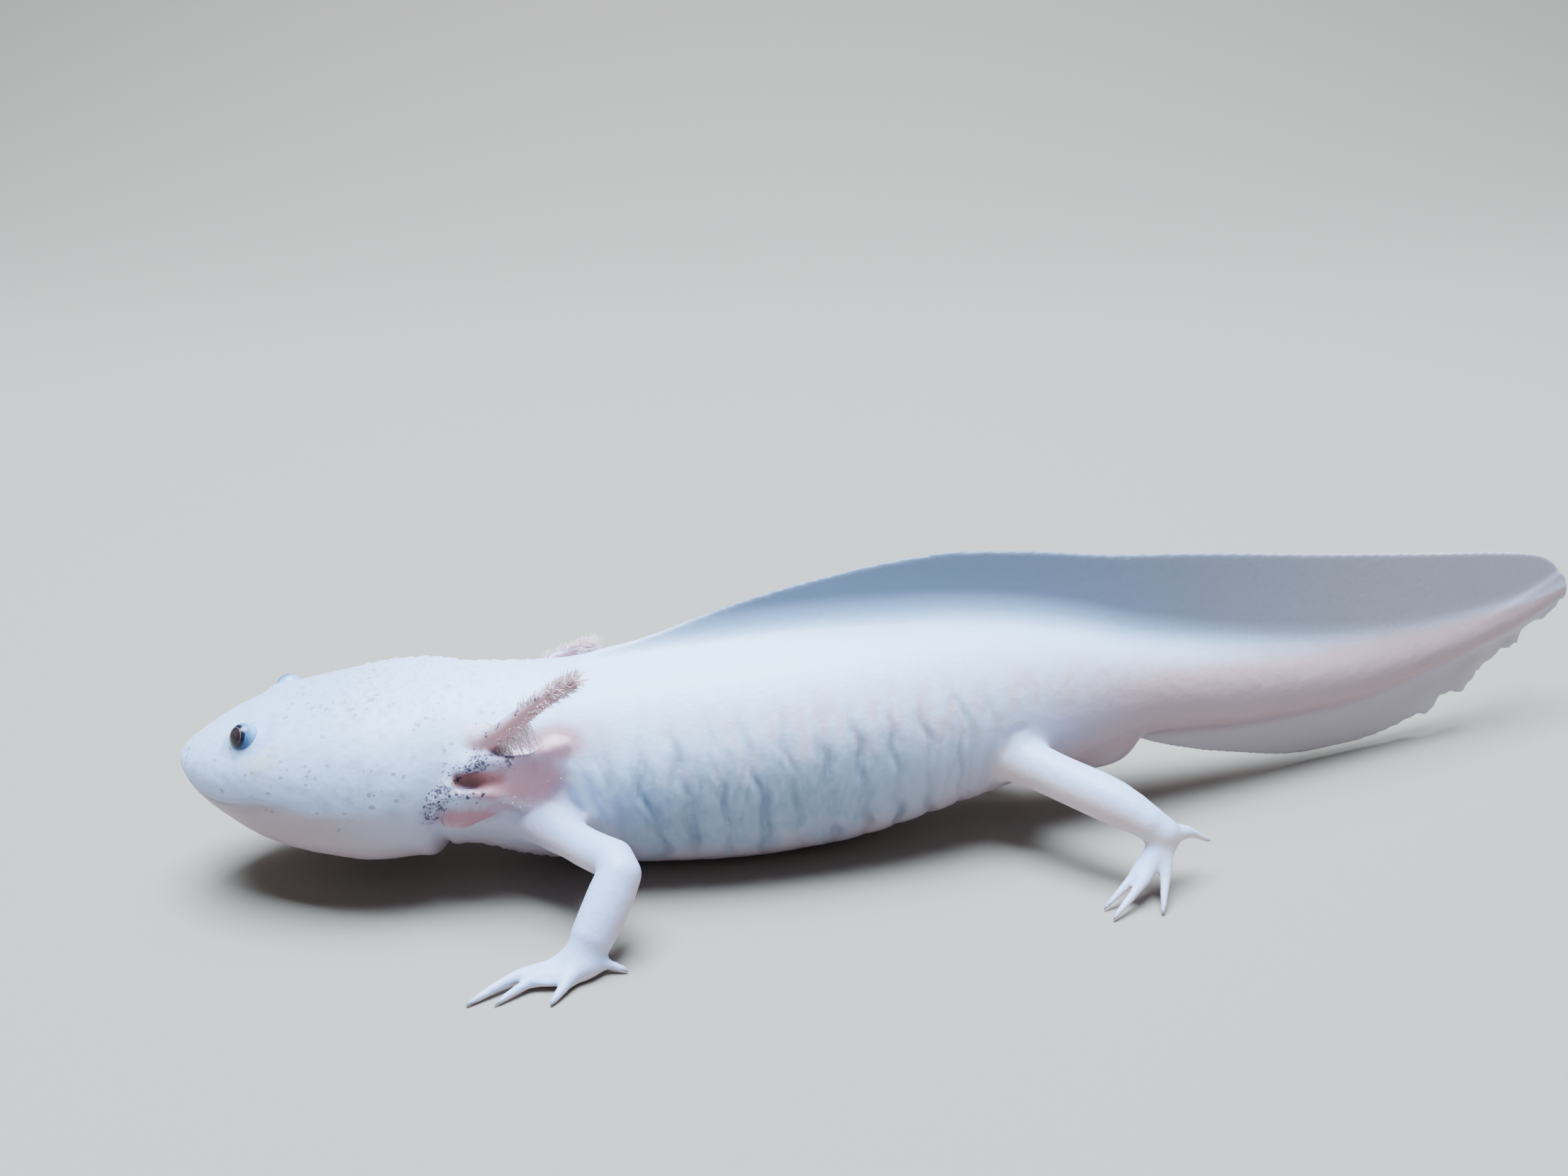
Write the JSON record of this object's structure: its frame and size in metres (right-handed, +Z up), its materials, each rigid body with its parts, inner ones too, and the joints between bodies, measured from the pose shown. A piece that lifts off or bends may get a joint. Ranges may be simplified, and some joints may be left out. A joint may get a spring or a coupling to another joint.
{
  "type": "axolotl",
  "caption": "Life-size still model of a pale, dark-eyed axolotl at rest on its belly and feet, with feathery gills, a high back fin and a tail swung gently to one side.",
  "frame": {"origin": "under the middle of the whole animal's box, on the ground it rests on", "axes": "+X from the snout towards the tail, +Y towards the animal's right side, +Z up; the head points along -X and the tail swings towards +Y"},
  "size_m": [0.2344, 0.0934, 0.0452],
  "materials": {
    "skin": "smooth wet amphibian skin, bluish white above and pinkish beige below, satin sheen",
    "fin": "thin smooth grey-blue fin membrane, satin sheen",
    "gill": "pinkish lilac with dark speckles, soft and moist",
    "eye": "wet gloss, near black with a thin pale ring"
  },
  "bodies": {
    "root": {"head": "skin", "lower_jaw": "skin", "neck": "skin", "trunk_front": "skin", "trunk_rear": "skin", "pelvis": "skin", "tail_root": "skin", "tail_middle": "skin", "tail_end": "skin", "upper_arm_left": "skin", "forearm_left": "skin", "hand_left": "skin", "thigh_left": "skin", "shank_left": "skin", "foot_left": "skin", "upper_arm_right": "skin", "forearm_right": "skin", "hand_right": "skin", "thigh_right": "skin", "shank_right": "skin", "foot_right": "skin", "back_fin": "fin", "tail_fin_upper": "fin", "tail_fin_lower": "fin", "gill_upper_left": "gill", "gill_upper_right": "gill", "gill_middle_left": "gill", "gill_middle_right": "gill", "gill_lower_left": "gill", "gill_lower_right": "gill", "eye_left": "eye", "eye_right": "eye"}
  },
  "joints": []
}
